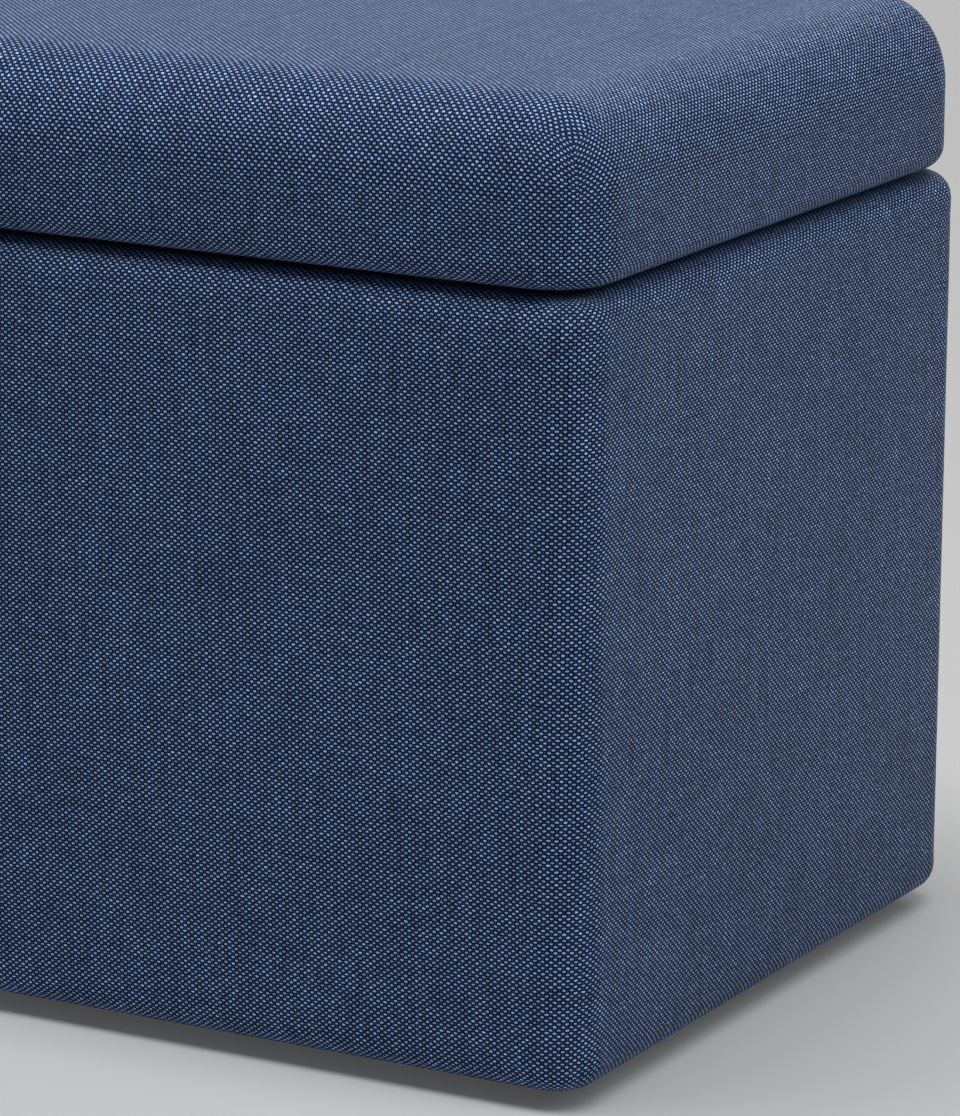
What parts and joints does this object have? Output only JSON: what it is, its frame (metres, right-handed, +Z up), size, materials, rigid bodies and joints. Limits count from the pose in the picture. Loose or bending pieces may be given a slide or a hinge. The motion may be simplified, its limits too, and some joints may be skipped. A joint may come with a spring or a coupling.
{
  "type": "storage bench",
  "caption": "Upholstered storage bench: a padded fabric box on low glides with a thick cushioned lid that opens on rear butt hinges and two folding stays.",
  "frame": {"origin": "on the floor, under the middle of the bench", "axes": "+X along the length, +Z up, the front faces -Y and the hinges are at +Y"},
  "size_m": [0.76, 0.4, 0.46],
  "materials": {
    "navy_fabric": "matt plain weave, navy with grey-blue raised yarn",
    "lining_cloth": "black spunbond cloth",
    "foam": "open-cell foam",
    "panel_wood": "raw plywood",
    "dowel_wood": "beech, fluted",
    "glide_plastic": "moulded black",
    "bumper_rubber": "soft black",
    "hinge_steel": "zinc plated",
    "stay_steel": "zinc plated strip",
    "screw_steel": "zinc plated"
  },
  "bodies": {
    "base": {"bottom_panel": "panel_wood", "front_panel": "panel_wood", "back_panel": "panel_wood", "left_panel": "panel_wood", "right_panel": "panel_wood", "panel_dowels": "dowel_wood", "corner_screws": "screw_steel", "floor_screws": "screw_steel", "front_padding": "foam", "back_padding": "foam", "left_padding": "foam", "right_padding": "foam", "base_cover": "navy_fabric", "compartment_lining": "lining_cloth", "dust_cover": "lining_cloth", "glides": "glide_plastic", "glide_screws": "screw_steel", "hinge_base_leaves": "hinge_steel", "hinge_pins": "hinge_steel", "hinge_base_screws": "screw_steel", "stay_base_plates": "stay_steel", "stay_base_rivets": "stay_steel", "stay_base_screws": "screw_steel"},
    "lid": {"lid_board": "panel_wood", "lid_cushion": "foam", "lid_cover": "navy_fabric", "lid_lining": "lining_cloth", "lid_bumpers": "bumper_rubber", "hinge_lid_leaves": "hinge_steel", "hinge_lid_screws": "screw_steel", "stay_lid_brackets": "stay_steel", "stay_lid_rivets": "stay_steel", "stay_lid_screws": "screw_steel"},
    "left_stay_lower": {"left_stay_lower_arm": "stay_steel", "left_stay_elbow_rivet": "stay_steel"},
    "left_stay_upper": {"left_stay_upper_arm": "stay_steel"},
    "right_stay_lower": {"right_stay_lower_arm": "stay_steel", "right_stay_elbow_rivet": "stay_steel"},
    "right_stay_upper": {"right_stay_upper_arm": "stay_steel"}
  },
  "joints": [
    {"name": "lid_hinge", "type": "hinge", "parent": "base", "child": "lid", "pos_m": [0, 0.197, 0.3745], "axis": [-1, 0, 0], "range_deg": [0, 95]},
    {"name": "left_stay_pivot", "type": "hinge", "parent": "base", "child": "left_stay_lower", "pos_m": [-0.3481, 0.1595, 0.2575], "axis": [-1, 0, 0], "range_deg": [0, 95]},
    {"name": "left_stay_elbow", "type": "hinge", "parent": "left_stay_lower", "child": "left_stay_upper", "pos_m": [-0.3481, 0.0395, 0.2495], "axis": [1, 0, 0], "range_deg": [0, 95]},
    {"name": "right_stay_pivot", "type": "hinge", "parent": "base", "child": "right_stay_lower", "pos_m": [0.3481, 0.1595, 0.2575], "axis": [-1, 0, 0], "range_deg": [0, 95]},
    {"name": "right_stay_elbow", "type": "hinge", "parent": "right_stay_lower", "child": "right_stay_upper", "pos_m": [0.3481, 0.0395, 0.2495], "axis": [1, 0, 0], "range_deg": [0, 95]}
  ],
  "couplings": [
    {"joint": "left_stay_pivot", "follows": "lid_hinge", "ratio": 1},
    {"joint": "left_stay_elbow", "follows": "lid_hinge", "ratio": 1},
    {"joint": "right_stay_pivot", "follows": "lid_hinge", "ratio": 1},
    {"joint": "right_stay_elbow", "follows": "lid_hinge", "ratio": 1}
  ]
}
